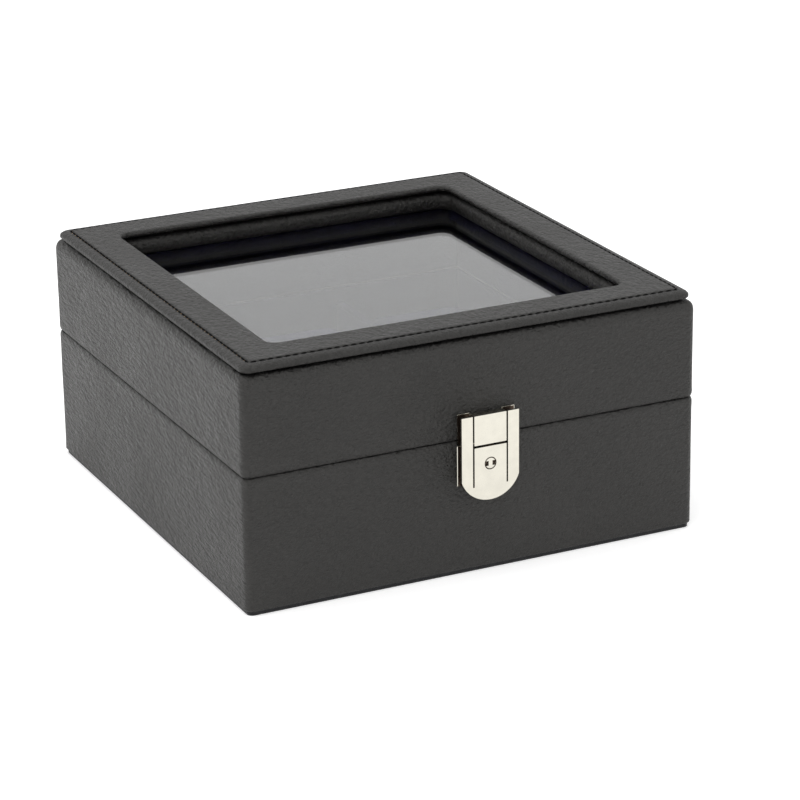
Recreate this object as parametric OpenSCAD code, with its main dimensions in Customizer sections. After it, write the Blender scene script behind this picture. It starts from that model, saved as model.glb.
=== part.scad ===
// A leather-covered watch box: six cushions in a divided base, a windowed lid on two
// hinges and a sliding press lock. Millimetres, +Z up, the front faces -Y. The origin
// is the middle of the face that the box rests on.

/* [Box] */
// Width over the leather
box_w = 200; // [190:1:220]
// Depth over the leather, front to back
box_d = 204; // [190:1:220]
// Height of the base, from the table to its rim
base_h = 57; // [54:1:64]
// Height of the lid's walls
lid_wall_h = 40.9; // [38:0.1:46]
// Radius of the upright corners
corner_r = 3.5; // [3:0.1:4.5]
// Thickness of the wall boards
board_t = 8; // [7:0.5:9]
// Thickness of the leather
leather_t = 0.8; // [0.6:0.1:1]

/* [Lid window] */
// Distance from the box's side to the window's edge
window_margin = 21.8; // [20:0.1:24]
// Distance from the box's side to the top frame's edge
frame_inset = 1.5; // [1.2:0.1:2]
// Thickness of the top frame
frame_t = 3.5; // [3.2:0.1:4]
// Shadow gap between the lid's walls and the top frame
frame_gap = 1.1; // [0.8:0.1:1.4]
// Depth of the glass below the top of the frame
glass_depth = 11.2; // [10:0.1:12]
// Thickness of the glass
glass_t = 2.5; // [2:0.1:3]

/* [Cushions] */
// Height of a cushion
cushion_h = 41; // [38:0.5:42]
// Clear space round a cushion
cushion_gap = 1.4; // [1:0.1:2]

/* [Lock] */
// How far the lock sits to the right of the box's middle
lock_x = 3.75; // [0:0.05:5]
// Width of the lock's front plate
lock_w = 25.4; // [24:0.1:27]
// How far the lock stands proud of the leather
lock_proud = 4.6; // [4.5:0.1:5]
// Travel of the slider
lock_travel = 2.5; // [2:0.1:2.5]

/* [Hinges] */
// Distance of each hinge from the box's middle
hinge_x = 58; // [45:1:70]
// Width of a hinge
hinge_w = 24; // [20:1:30]
// Radius of a hinge's knuckles
knuckle_r = 1.7; // [1.6:0.05:1.8]

/* [Hidden] */
$fn = 64;
eps = 0.01;              // overlap between the pieces of one solid
through = 40;            // longer than anything a cut has to pass through

// Heights
pad_t = 1.6;
seam_gap = 0.2;
seam_z = base_h + seam_gap / 2;
lid_z = base_h + seam_gap;
shoulder_z = lid_z + lid_wall_h;
frame_z = shoulder_z + frame_gap;
top_z = frame_z + frame_t;
glass_top = top_z - glass_depth;
glass_z = glass_top - glass_t;

// Walls
base_edge_r = 1.2;       // rounding of the leather along the seam and the foot
shoulder_r = 3.4;        // rounding of the leather along the lid's shoulder
shoulder_t = 3;          // leather and padding over the lid's boards
skin_w = box_w - 2 * leather_t;
skin_d = box_d - 2 * leather_t;
hollow_w = skin_w - 2 * board_t;
hollow_d = skin_d - 2 * board_t;
floor_t = 5;
floor_z = pad_t + leather_t;
pad_inset = 1;

// Lining, dividers and compartments
lining_t = 1.2;
carpet_t = 1;
carpet_z = floor_z + floor_t;
cell_floor = carpet_z + carpet_t;
room_w = hollow_w - 2 * lining_t;
room_d = hollow_d - 2 * lining_t;
lining_drop = 0.6;       // how far the linings stop short of the rims
divider_t = 4;
columns = 3;             // cushions side by side
rows = 2;                // rows of cushions, front and back
cell_w = (room_w - (columns - 1) * divider_t) / columns;
cell_d = (room_d - (rows - 1) * divider_t) / rows;
cross_x = cell_w / 2 + divider_t / 2;
cushion_lift = 0.3;      // clearance under a cushion
cushion_z = cell_floor + cushion_lift;
divider_top = cushion_z + cushion_h;
lap_z = (cell_floor + divider_top) / 2;
cushion_corner_r = 8;
crown_r = 120;           // radius of a cushion's crowned top
crown_fn = 128;

// Top frame and window
frame_leather_t = 0.8;
frame_corner_r = 4;
window_corner_r = 5;
frame_w = box_w - 2 * frame_inset;
frame_d = box_d - 2 * frame_inset;
window_w = box_w - 2 * window_margin;
window_d = box_d - 2 * window_margin;
nose_r = 1.4;                      // rounding of the frame's edges
core_inset = 2.2;                  // core's edge inside the frame's outer edge
riser_outset = 3;                  // riser's outer edge inside the frame's edge
roll_w = 6;                        // width of the bolster's padded roll
roll_rise = 0.4;                   // how far the roll stands above the shoulder
roll_top_r = 3;
roll_low_r = 1;
glass_lap = 5;                     // glass hidden under the bolster on each side
bead_lap = 2.3;                    // bead's edge outside the window's edge
bead_h = 4.5;
bead_gap = 0.2;                    // room round the edge of the glass

// Lock, measured outward from the front face of the leather. Its heights follow the seam.
lock_top = seam_z + 10.8;
lock_bottom = seam_z - 25.3;
lock_round_r = 13.5;               // radius of the front plate's lower end
lock_play = 0.2;                   // clearance between the slider and the fixed pieces
front_t = 1.2;                     // thickness of the front plate
back_t = 0.6;                      // thickness of the back plates
hasp_w = 14.2;
hasp_z = seam_z - 1.7;
slit_w = 0.65;                     // slit between the tongue and each prong
slit_z = seam_z - 19.1;
tongue_top = hasp_z - 0.9;
lid_plate_z = hasp_z + 0.2;
lid_plate_top = seam_z + 11.2;
base_plate_z = seam_z - 19.1;
base_plate_top = seam_z - 2.1;
plate_relief = 0.2;                // hasp plate's clearance in front of the base
ear_low = lock_top - 0.4;          // top of the hasp plate between its two ears
slider_back = lock_proud - front_t;
rail_depth = slider_back - lock_play;
rail_x = 9.3;
rail_t = 1.1;
rail_top = base_plate_top - 0.5;
rib_x = rail_x + rail_t + lock_play;
rib_t = 0.8;
rib_z = seam_z - 18.8;
key_z = seam_z - 9.9;
key_r = 2.55;
key_clearance = 0.05;
key_recess = 0.05;                 // how far the core's face lies below the plate's
key_hole_x = 1.5;                  // the two slots beside the core's middle bar
key_hole_w = 1.3;
key_hole_h = 2;
key_hole_depth = 1;
key_groove_w = 0.35;               // groove round the edge of the core's face
key_groove_depth = 0.7;
core_tail = 0.1;                   // core's length between the plate and the cam
cam_r = 3;
cam_w = 1.6;
cam_reach = 5.2;
cam_t = 0.7;
shelf_x = 5.7;                     // inner edge of the place for a spring
shelf_w = 2.8;
shelf_t = 1;
shelf_z = seam_z - 18.9;
spring_solid = 2.8;                // height of a spring pressed down
spring_top = shelf_z + shelf_t + spring_solid + lock_travel;
spring_wire = 0.4;
spring_folds = 4;
spring_depth = 1.2;
spring_stand = 1;                  // spring's distance from the back plate
spring_gap = 0.2;                  // room on each side of a spring
tab_stand = 0.8;                   // distance of the slider's tabs from the back plate
hook_w = 6;
hook_z = seam_z - 6.8;
hook_top = hasp_z + 5;
hook_near = 0.9;
hook_far = 2;
hook_bar = 1;                      // width of metal round the hook's window
hook_window_h = 1.7;
catch_gap = 0.45;                  // distance from the slider's catch to the hook
catch_play = 0.1;
rivet_r = 0.7;
rivet_head_r = 1.1;
rivet_head_t = 0.6;
rivet_len = 8.6;
hasp_rivet_x = 10.4;
hasp_rivets_z = [seam_z + 2.9, seam_z + 8.3];
lock_rivet_x = 7.1;
lock_rivets_z = [seam_z - 16.2, seam_z - 6.6];

// Hinges
hinge_stand = 0.3;                 // gap between the leather and the knuckles
axis_y = box_d / 2 + knuckle_r + hinge_stand;
axis_z = seam_z;
pin_r = 0.8;
pin_clearance = 0.05;
leaf_t = 0.8;
leaf_reach = 9.2;
leaf_gap = 0.05;                   // half the gap between a hinge's two leaves
knuckle_gap = 0.2;
middle_knuckle_w = hinge_w / 3;
screw_r = 0.9;
screw_head_r = 1.7;
screw_head_t = 0.7;
screw_len = 7;
screw_x = 7;
screw_y = axis_y - 6.2;
slot_w = 0.4;
slot_depth = 0.3;

leather_colour = [0.16, 0.16, 0.16];
board_colour = [0.62, 0.5, 0.36];
velvet_colour = [0.05, 0.05, 0.12];
metal_colour = [0.86, 0.84, 0.8];
felt_colour = [0.1, 0.1, 0.1];
glass_colour = [0.75, 0.8, 0.85, 0.35];

// ---- Shared shapes ----

// A rectangle with round corners, in the middle of the plane
module round_rect(w, d, r) {
    square([w - 2 * r, d], center = true);
    square([w, d - 2 * r], center = true);
    for (x = [-1, 1], y = [-1, 1]) translate([x * (w / 2 - r), y * (d / 2 - r)]) circle(r);
}

// A flat ring between an outer and an inner rectangle
module flat_ring(w, d, inner_w, inner_d, t, r = 0) {
    linear_extrude(t) difference() {
        square([w, d], center = true);
        if (r > 0) round_rect(inner_w, inner_d, r);
        else square([inner_w, inner_d], center = true);
    }
}

// Carries a profile once round a rectangle whose corners are arcs. The profile's x is
// the distance out from the arcs' centres and its y is the height.
module swept_round(centres_w, centres_d) {
    for (side = [0 : 3]) {
        across = side % 2 == 0 ? centres_w : centres_d;
        along = side % 2 == 0 ? centres_d : centres_w;
        rotate(side * 90) translate([across / 2, along / 2, 0]) {
            rotate([90, 0, 0]) linear_extrude(along) children();
            rotate_extrude(angle = 90) children();
        }
    }
}

// What rounding takes off a corner at the origin, with the solid on its lower left
module corner_waste(r) {
    translate([-r, -r]) difference() {
        square(2 * r);
        circle(r);
    }
}

// A rectangle from the origin with its right-hand corners rounded
module edge_profile(w, h, low_r, high_r) {
    difference() {
        square([w, h]);
        translate([w, h]) corner_waste(high_r);
        translate([w, 0]) mirror([0, 1]) corner_waste(low_r);
    }
}

// Leather drawn over four walls and folded in over their upper and lower edges. It is
// top_t thick over the upper edge.
module wall_leather(h, low_r, high_r, top_t) {
    centres_w = box_w - 2 * corner_r;
    centres_d = box_d - 2 * corner_r;
    swept_round(centres_w, centres_d) difference() {
        edge_profile(corner_r, h, low_r, high_r);
        translate([0, leather_t]) square([corner_r - leather_t, h - leather_t - top_t]);
    }
    flat_ring(centres_w, centres_d, hollow_w, hollow_d, leather_t);
    translate([0, 0, h - top_t]) flat_ring(centres_w, centres_d, hollow_w, hollow_d, top_t);
}

// The space inside the leather, which the wall boards fill
module skin_block(z, h) {
    translate([0, 0, z]) linear_extrude(h) round_rect(skin_w, skin_d, corner_r - leather_t);
}

// The front or back board: side is -1 at the front and 1 at the back
module long_board(side, z, h) {
    intersection() {
        skin_block(z, h);
        translate([-box_w / 2, side > 0 ? hollow_d / 2 : -skin_d / 2, z]) cube([box_w, board_t, h]);
    }
}

// The left or right board, which fits between the front and back boards
module side_board(side, z, h) {
    translate([side > 0 ? hollow_w / 2 : -skin_w / 2, -hollow_d / 2, z]) cube([board_t, hollow_d, h]);
}

// A box given by its low corner and its high corner
module block(low, high) {
    translate(low) cube(high - low);
}

// A slab that fills the hollow between the boards from one height to another
module hollow_slab(low, high) {
    block([-hollow_w / 2, -hollow_d / 2, low], [hollow_w / 2, hollow_d / 2, high]);
}

// Places the lock's pieces: y = 0 is the front face of the leather and -y is outward
module at_lock() {
    translate([lock_x, -box_d / 2, 0]) children();
}

// Draws a piece on the right and its mirror image on the left
module both_sides() {
    children();
    mirror([1, 0, 0]) children();
}

// The places of the rivets through a lock plate
module at_rivets(x, heights) {
    for (side = [-1, 1], z = heights) translate([side * x, 0, z]) rotate([-90, 0, 0]) children();
}

module rivet_holes(x, heights) {
    at_lock() at_rivets(x, heights) translate([0, 0, -back_t - eps]) {
        cylinder(r = rivet_r, h = rivet_len + back_t);
    }
}

// A rivet along +Z whose head lies below -back_t
module rivet() {
    translate([0, 0, -back_t]) cylinder(r = rivet_r, h = rivet_len + back_t - eps);
    translate([0, 0, -back_t - rivet_head_t]) cylinder(r = rivet_head_r, h = rivet_head_t);
}

// ---- Hinge shapes ----

module at_hinges() {
    for (side = [-1, 1]) translate([side * hinge_x, 0, 0]) children();
}

// A rod along the hinge axis, centred on a hinge
module axis_rod(r, w, x = 0) {
    translate([x, axis_y, axis_z]) rotate([0, 90, 0]) cylinder(r = r, h = w, center = true);
}

// The screws' places in one hinge
module at_leaf_screws() {
    for (side = [-1, 1]) translate([side * screw_x, screw_y, 0]) children();
}

// A screw along -Z with its countersunk head's face at z = 0
module screw() {
    difference() {
        union() {
            translate([0, 0, -screw_head_t]) cylinder(r1 = screw_r, r2 = screw_head_r, h = screw_head_t);
            translate([0, 0, -screw_len]) cylinder(r = screw_r, h = screw_len - screw_head_t + eps);
        }
        translate([-through / 2, -slot_w / 2, -slot_depth]) cube([through, slot_w, through]);
    }
}

module screw_hole() {
    translate([0, 0, -screw_head_t]) cylinder(r1 = screw_r, r2 = screw_head_r, h = screw_head_t);
    translate([0, 0, -screw_len - eps]) cylinder(r = screw_r, h = screw_len);
}

base_leaf_top = axis_z - leaf_gap;
lid_leaf_low = axis_z + leaf_gap;
outer_knuckle_w = (hinge_w - middle_knuckle_w) / 2 - knuckle_gap;
outer_knuckle_x = (hinge_w - outer_knuckle_w) / 2;

// The leaf let into the base's rim, with the two outer knuckles
module base_leaf(side) {
    color(metal_colour) translate([side * hinge_x, 0, 0]) difference() {
        union() {
            difference() {
                block([-hinge_w / 2, axis_y - leaf_reach, base_leaf_top - leaf_t],
                      [hinge_w / 2, axis_y, base_leaf_top]);
                axis_rod(knuckle_r + knuckle_gap, middle_knuckle_w + 2 * knuckle_gap);
            }
            for (end = [-1, 1]) axis_rod(knuckle_r, outer_knuckle_w, end * outer_knuckle_x);
        }
        axis_rod(pin_r, through);
        translate([0, 0, base_leaf_top]) at_leaf_screws() screw_hole();
    }
}

// The leaf let into the lid's lower edge, with the middle knuckle
module lid_leaf(side) {
    color(metal_colour) translate([side * hinge_x, 0, 0]) difference() {
        union() {
            difference() {
                block([-hinge_w / 2, axis_y - leaf_reach, lid_leaf_low],
                      [hinge_w / 2, axis_y, lid_leaf_low + leaf_t]);
                for (end = [-1, 1]) {
                    axis_rod(knuckle_r + knuckle_gap, outer_knuckle_w + 2 * knuckle_gap,
                             end * outer_knuckle_x);
                }
            }
            axis_rod(knuckle_r, middle_knuckle_w);
        }
        axis_rod(pin_r + pin_clearance, through);
        translate([0, 0, lid_leaf_low]) mirror([0, 0, 1]) at_leaf_screws() screw_hole();
    }
}

// The leaf's recess and screw holes in the base
module base_hinge_cuts() {
    at_hinges() {
        block([-hinge_w / 2, axis_y - leaf_reach, base_leaf_top - leaf_t],
              [hinge_w / 2, axis_y, base_leaf_top + leaf_t]);
        translate([0, 0, base_leaf_top]) at_leaf_screws() screw_hole();
    }
}

// The leaf's recess and screw holes in the lid
module lid_hinge_cuts() {
    at_hinges() {
        block([-hinge_w / 2, axis_y - leaf_reach, lid_leaf_low - leaf_t],
              [hinge_w / 2, axis_y, lid_leaf_low + leaf_t]);
        translate([0, 0, lid_leaf_low]) mirror([0, 0, 1]) at_leaf_screws() screw_hole();
    }
}

// ---- Base ----

base_board_h = base_h - leather_t - floor_z;

module base_front_board() {
    color(board_colour) difference() {
        long_board(-1, floor_z, base_board_h);
        rivet_holes(lock_rivet_x, lock_rivets_z);
    }
}

module base_back_board() {
    color(board_colour) difference() {
        long_board(1, floor_z, base_board_h);
        base_hinge_cuts();
    }
}

module base_side_board(side) {
    color(board_colour) side_board(side, floor_z, base_board_h);
}

module base_floor_board() {
    color(board_colour) hollow_slab(floor_z, floor_z + floor_t);
}

module base_leather() {
    color(leather_colour) difference() {
        translate([0, 0, pad_t]) wall_leather(base_h - pad_t, base_edge_r, base_edge_r, leather_t);
        base_hinge_cuts();
        rivet_holes(lock_rivet_x, lock_rivets_z);
    }
}

// The pad stands up into the gap that the folded leather leaves under the floor board
module underside_pad() {
    pad_w = box_w - 2 * pad_inset;
    pad_d = box_d - 2 * pad_inset;
    color(felt_colour) {
        linear_extrude(pad_t) round_rect(pad_w, pad_d, corner_r - pad_inset);
        hollow_slab(0, floor_z);
    }
}

module base_wall_lining() {
    color(velvet_colour) translate([0, 0, cell_floor])
        flat_ring(hollow_w, hollow_d, room_w, room_d, base_h - lining_drop - cell_floor);
}

module base_floor_lining() {
    color(velvet_colour) hollow_slab(carpet_z, carpet_z + carpet_t);
}

// The divider between the rows, slotted from above for the cross dividers
module divider_long() {
    color(velvet_colour) difference() {
        block([-room_w / 2, -divider_t / 2, cell_floor], [room_w / 2, divider_t / 2, divider_top]);
        for (side = [-1, 1]) {
            block([side * cross_x - divider_t / 2, -divider_t, lap_z],
                  [side * cross_x + divider_t / 2, divider_t, divider_top + eps]);
        }
    }
}

// A divider between two columns, slotted from below
module cross_divider(side) {
    x = side * cross_x;
    color(velvet_colour) difference() {
        block([x - divider_t / 2, -room_d / 2, cell_floor], [x + divider_t / 2, room_d / 2, divider_top]);
        block([x - divider_t, -divider_t / 2, cell_floor - eps], [x + divider_t, divider_t / 2, lap_z]);
    }
}

// ---- Lock on the base ----

module lock_back_plate() {
    color(metal_colour) difference() {
        at_lock() block([-lock_w / 2, -back_t, base_plate_z], [lock_w / 2, 0, base_plate_top]);
        rivet_holes(lock_rivet_x, lock_rivets_z);
    }
}

// Two upright rails that guide the slider, joined by a shelf under its springs
module lock_rails() {
    color(metal_colour) at_lock() both_sides() {
        block([rail_x, -rail_depth, shelf_z], [rail_x + rail_t, -back_t, rail_top]);
        block([0, -rail_depth, shelf_z], [rail_x + eps, -back_t, shelf_z + shelf_t]);
    }
}

// The zigzag outline of a spring, from its lower left corner
module spring_outline() {
    pitch = (spring_top - shelf_z - shelf_t - spring_wire) / spring_folds;
    reach = shelf_w - 2 * spring_gap - spring_wire;
    for (i = [0 : spring_folds]) {
        translate([0, i * pitch]) square([reach + spring_wire, spring_wire]);
    }
    for (i = [0 : spring_folds - 1]) {
        translate([i % 2 == 0 ? reach : 0, i * pitch]) square([spring_wire, pitch + spring_wire]);
    }
}

// A zigzag spring between the shelf and the slider, on each side of the lock
module lock_springs() {
    color(metal_colour) at_lock() both_sides() {
        translate([shelf_x + spring_gap, -back_t - spring_stand, shelf_z + shelf_t]) {
            rotate([90, 0, 0]) linear_extrude(spring_depth) spring_outline();
        }
    }
}

module lock_rivets() {
    color(metal_colour) at_lock() at_rivets(lock_rivet_x, lock_rivets_z) rivet();
}

// ---- Slider and key core ----

// The front plate's outline: a rectangle with a round lower end, cut by two slits
module slider_outline() {
    difference() {
        union() {
            intersection() {
                translate([-lock_w / 2, lock_bottom]) square([lock_w, lock_round_r]);
                translate([0, lock_bottom + lock_round_r]) circle(lock_round_r);
            }
            translate([-lock_w / 2, lock_bottom + lock_round_r]) {
                square([lock_w, lock_top - lock_bottom - lock_round_r]);
            }
        }
        translate([-hasp_w / 2 - slit_w, tongue_top]) square([hasp_w + 2 * slit_w, through]);
        for (side = [-1, 1]) {
            translate([side * (hasp_w + slit_w) / 2 - slit_w / 2, slit_z]) square([slit_w, through]);
        }
        translate([0, key_z]) circle(key_r + key_clearance);
    }
}

// The front plate, with a rib outside each rail, a tab over each spring and the catch
module lock_slider() {
    tab_x = hasp_w / 2;
    catch_x = hook_w / 2 - hook_bar - lock_play;
    catch_z = hook_z + hook_bar + catch_play;
    catch_h = hook_window_h - 2 * catch_play;
    inner = -slider_back - eps;
    color(metal_colour) at_lock() {
        translate([0, -slider_back, 0]) rotate([90, 0, 0]) linear_extrude(front_t) slider_outline();
        both_sides() {
            block([rib_x, inner, rib_z], [rib_x + rib_t, -back_t - lock_play, tongue_top]);
            block([shelf_x, inner, spring_top], [tab_x, -back_t - tab_stand, spring_top + shelf_t]);
        }
        block([-catch_x, inner, catch_z], [catch_x, -hook_far - catch_gap, catch_z + catch_h]);
    }
}

// The round core that the key turns, with a cam behind the slider's tongue
module lock_core() {
    core_back = slider_back - core_tail;
    core_face = lock_proud - key_recess;
    color(metal_colour) at_lock() translate([0, 0, key_z]) rotate([90, 0, 0]) {
        difference() {
            translate([0, 0, core_back]) {
                cylinder(r = key_r, h = core_face - core_back - key_groove_depth);
                cylinder(r = key_r - key_groove_w, h = core_face - core_back);
            }
            for (side = [-1, 1]) translate([side * key_hole_x, 0, lock_proud]) {
                cube([key_hole_w, key_hole_h, 2 * key_hole_depth], center = true);
            }
        }
        translate([0, 0, core_back - cam_t]) {
            cylinder(r = cam_r, h = cam_t);
            translate([0, -cam_w / 2, 0]) cube([cam_reach, cam_w, cam_t]);
        }
    }
}

// ---- Hinges ----

module hinge_pins() {
    color(metal_colour) at_hinges() axis_rod(pin_r, hinge_w);
}

module hinge_base_screws() {
    color(metal_colour) at_hinges() translate([0, 0, base_leaf_top]) at_leaf_screws() screw();
}

module hinge_lid_screws() {
    color(metal_colour) at_hinges() translate([0, 0, lid_leaf_low]) {
        mirror([0, 0, 1]) at_leaf_screws() screw();
    }
}

// ---- Lid ----

lid_board_z = lid_z + leather_t;
lid_board_h = lid_wall_h - leather_t - shoulder_t;

module lid_front_board() {
    color(board_colour) difference() {
        long_board(-1, lid_board_z, lid_board_h);
        rivet_holes(hasp_rivet_x, hasp_rivets_z);
    }
}

module lid_back_board() {
    color(board_colour) difference() {
        long_board(1, lid_board_z, lid_board_h);
        lid_hinge_cuts();
    }
}

module lid_side_board(side) {
    color(board_colour) side_board(side, lid_board_z, lid_board_h);
}

module lid_leather() {
    color(leather_colour) difference() {
        translate([0, 0, lid_z]) wall_leather(lid_wall_h, base_edge_r, shoulder_r, shoulder_t);
        lid_hinge_cuts();
        rivet_holes(hasp_rivet_x, hasp_rivets_z);
    }
}

module top_frame_board() {
    core_r = frame_corner_r - core_inset;
    core_h = frame_t - 2 * frame_leather_t;
    color(board_colour) translate([0, 0, frame_z + frame_leather_t]) {
        linear_extrude(core_h) difference() {
            round_rect(frame_w - 2 * core_inset, frame_d - 2 * core_inset, core_r);
            round_rect(window_w + 2 * nose_r, window_d + 2 * nose_r, window_corner_r + nose_r);
        }
    }
}

// Leather folded round the frame's edges. Its underside is open over the riser.
module top_frame_leather() {
    flat_w = frame_w - 2 * frame_corner_r;
    flat_d = frame_d - 2 * frame_corner_r;
    hole_r = window_corner_r + roll_w;
    hole_w = window_w + 2 * roll_w;
    hole_d = window_d + 2 * roll_w;
    centres_w = window_w - 2 * window_corner_r;
    centres_d = window_d - 2 * window_corner_r;
    core_h = frame_t - 2 * frame_leather_t;
    top_skin_z = frame_t - frame_leather_t;
    color(leather_colour) translate([0, 0, frame_z]) {
        swept_round(flat_w, flat_d) difference() {
            edge_profile(frame_corner_r, frame_t, nose_r, nose_r);
            translate([0, frame_leather_t]) square([frame_corner_r - core_inset, core_h]);
            square([frame_corner_r - riser_outset, frame_leather_t]);
        }
        swept_round(centres_w, centres_d) translate([hole_r, 0]) mirror([1, 0]) difference() {
            edge_profile(roll_w, frame_t, nose_r, nose_r);
            translate([0, frame_leather_t]) square([roll_w - nose_r, core_h]);
        }
        translate([0, 0, top_skin_z]) flat_ring(flat_w, flat_d, hole_w, hole_d, frame_leather_t, hole_r);
    }
}

// A strip that lifts the top frame off the lid's shoulder
module top_frame_riser() {
    riser_w = frame_w - 2 * riser_outset;
    riser_d = frame_d - 2 * riser_outset;
    riser_h = frame_gap + frame_leather_t;
    color(felt_colour) translate([0, 0, shoulder_z]) linear_extrude(riser_h) difference() {
        round_rect(riser_w, riser_d, frame_corner_r - riser_outset);
        round_rect(window_w + 2 * roll_w, window_d + 2 * roll_w, window_corner_r + roll_w);
    }
}

// The padded ring between the walls and the window, with a roll along its inner edge
module window_bolster() {
    low = glass_top;
    centres_w = window_w - 2 * window_corner_r;
    centres_d = window_d - 2 * window_corner_r;
    roll_h = shoulder_z + roll_rise - low;
    ring_w = window_w + 2 * roll_w;
    ring_d = window_d + 2 * roll_w;
    color(leather_colour) translate([0, 0, low]) {
        swept_round(centres_w, centres_d) translate([window_corner_r + roll_w, 0]) mirror([1, 0]) {
            edge_profile(roll_w, roll_h, roll_low_r, roll_top_r);
        }
        flat_ring(hollow_w, hollow_d, ring_w, ring_d, shoulder_z - low, window_corner_r + roll_w);
    }
}

glass_w = window_w + 2 * glass_lap;
glass_d = window_d + 2 * glass_lap;

module window_glass() {
    color(glass_colour) block([-glass_w / 2, -glass_d / 2, glass_z], [glass_w / 2, glass_d / 2, glass_top]);
}

// The four beads that hold the glass up against the bolster. A long bead runs the full
// width and a short one fits between the two long ones.
module bead_profile(outer, inner) {
    rebate = glass_w / 2 + bead_gap - window_w / 2 - bead_lap;
    translate([inner, 0]) square([outer - inner, bead_h]);
    translate([inner + rebate, 0]) square([outer - inner - rebate, bead_h + glass_t]);
}

module glass_bead(turn, outer, inner, length) {
    color(velvet_colour) translate([0, 0, glass_z - bead_h]) rotate(turn) rotate([90, 0, 0]) {
        linear_extrude(length, center = true) bead_profile(outer, inner);
    }
}

long_bead_y = window_d / 2 + bead_lap;
side_bead_x = window_w / 2 + bead_lap;

module glass_bead_front() {
    glass_bead(-90, hollow_d / 2, long_bead_y, hollow_w);
}

module glass_bead_back() {
    glass_bead(90, hollow_d / 2, long_bead_y, hollow_w);
}

module glass_bead_left() {
    glass_bead(180, hollow_w / 2, side_bead_x, 2 * long_bead_y);
}

module glass_bead_right() {
    glass_bead(0, hollow_w / 2, side_bead_x, 2 * long_bead_y);
}

module lid_lining() {
    low = lid_z + lining_drop;
    high = glass_z - bead_h;
    color(velvet_colour) translate([0, 0, low]) flat_ring(hollow_w, hollow_d, room_w, room_d, high - low);
}

// ---- Hasp on the lid ----

// The plate under the hasp, cut down behind it between two ears
module hasp_plate() {
    color(metal_colour) difference() {
        at_lock() difference() {
            block([-lock_w / 2, -back_t, lid_plate_z], [lock_w / 2, 0, lid_plate_top]);
            block([-lock_w, -plate_relief, 0], [lock_w, through, lid_z + base_edge_r]);
            block([-hasp_w / 2, -through, ear_low], [hasp_w / 2, through, through + lock_top]);
        }
        rivet_holes(hasp_rivet_x, hasp_rivets_z);
    }
}

module hasp_block() {
    color(metal_colour) at_lock() difference() {
        block([-hasp_w / 2, -lock_proud, hasp_z], [hasp_w / 2, -back_t, lock_top]);
        block([-hook_w / 2, -hook_far, 0], [hook_w / 2, -hook_near, hook_top]);
    }
}

// The tongue that hangs behind the slider, with a window for the slider's catch
module hasp_hook() {
    window_x = hook_w / 2 - hook_bar;
    window_z = hook_z + hook_bar;
    color(metal_colour) at_lock() difference() {
        block([-hook_w / 2, -hook_far, hook_z], [hook_w / 2, -hook_near, hook_top]);
        block([-window_x, -through, window_z], [window_x, through, window_z + hook_window_h]);
    }
}

module hasp_rivets() {
    color(metal_colour) at_lock() at_rivets(hasp_rivet_x, hasp_rivets_z) rivet();
}

// ---- Cushions ----

// A pillow with round upright corners and a top that is crowned from front to back
module cushion(column, row) {
    w = cell_w - 2 * cushion_gap;
    d = cell_d - 2 * cushion_gap;
    x = (column - (columns - 1) / 2) * (cell_w + divider_t);
    y = (row - (rows - 1) / 2) * (cell_d + divider_t);
    color(velvet_colour) translate([x, y, cushion_z]) intersection() {
        linear_extrude(cushion_h) round_rect(w, d, cushion_corner_r);
        translate([0, 0, cushion_h - crown_r]) rotate([0, 90, 0]) {
            cylinder(r = crown_r, h = 2 * w, center = true, $fn = crown_fn);
        }
    }
}

base_front_board();
base_back_board();
base_side_board(-1);  // base_left_board
base_side_board(1);  // base_right_board
base_floor_board();
base_leather();
underside_pad();
base_wall_lining();
base_floor_lining();
divider_long();
cross_divider(-1);  // divider_cross_left
cross_divider(1);  // divider_cross_right
lock_back_plate();
lock_rails();
lock_springs();
lock_rivets();
base_leaf(-1);  // hinge_base_leaf_left
base_leaf(1);  // hinge_base_leaf_right
hinge_pins();
hinge_base_screws();
lid_front_board();
lid_back_board();
lid_side_board(-1);  // lid_left_board
lid_side_board(1);  // lid_right_board
lid_leather();
top_frame_board();
top_frame_leather();
top_frame_riser();
window_bolster();
window_glass();
glass_bead_front();
glass_bead_back();
glass_bead_left();
glass_bead_right();
lid_lining();
hasp_plate();
hasp_block();
hasp_hook();
hasp_rivets();
lid_leaf(-1);  // hinge_lid_leaf_left
lid_leaf(1);  // hinge_lid_leaf_right
hinge_lid_screws();
lock_slider();
lock_core();
cushion(0, 0);  // cushion_front_left
cushion(1, 0);  // cushion_front_middle
cushion(2, 0);  // cushion_front_right
cushion(0, 1);  // cushion_back_left
cushion(1, 1);  // cushion_back_middle
cushion(2, 1);  // cushion_back_right
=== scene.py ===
"""Looks of the watch box: leather covers, stitched top frame, velvet inside, nickel lock.

Lengths are in metres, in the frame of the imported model: the front faces -Y, +Z is up.
"""
import math

import bmesh
import bpy
import numpy as np
from mathutils import Matrix, Vector, noise

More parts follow.
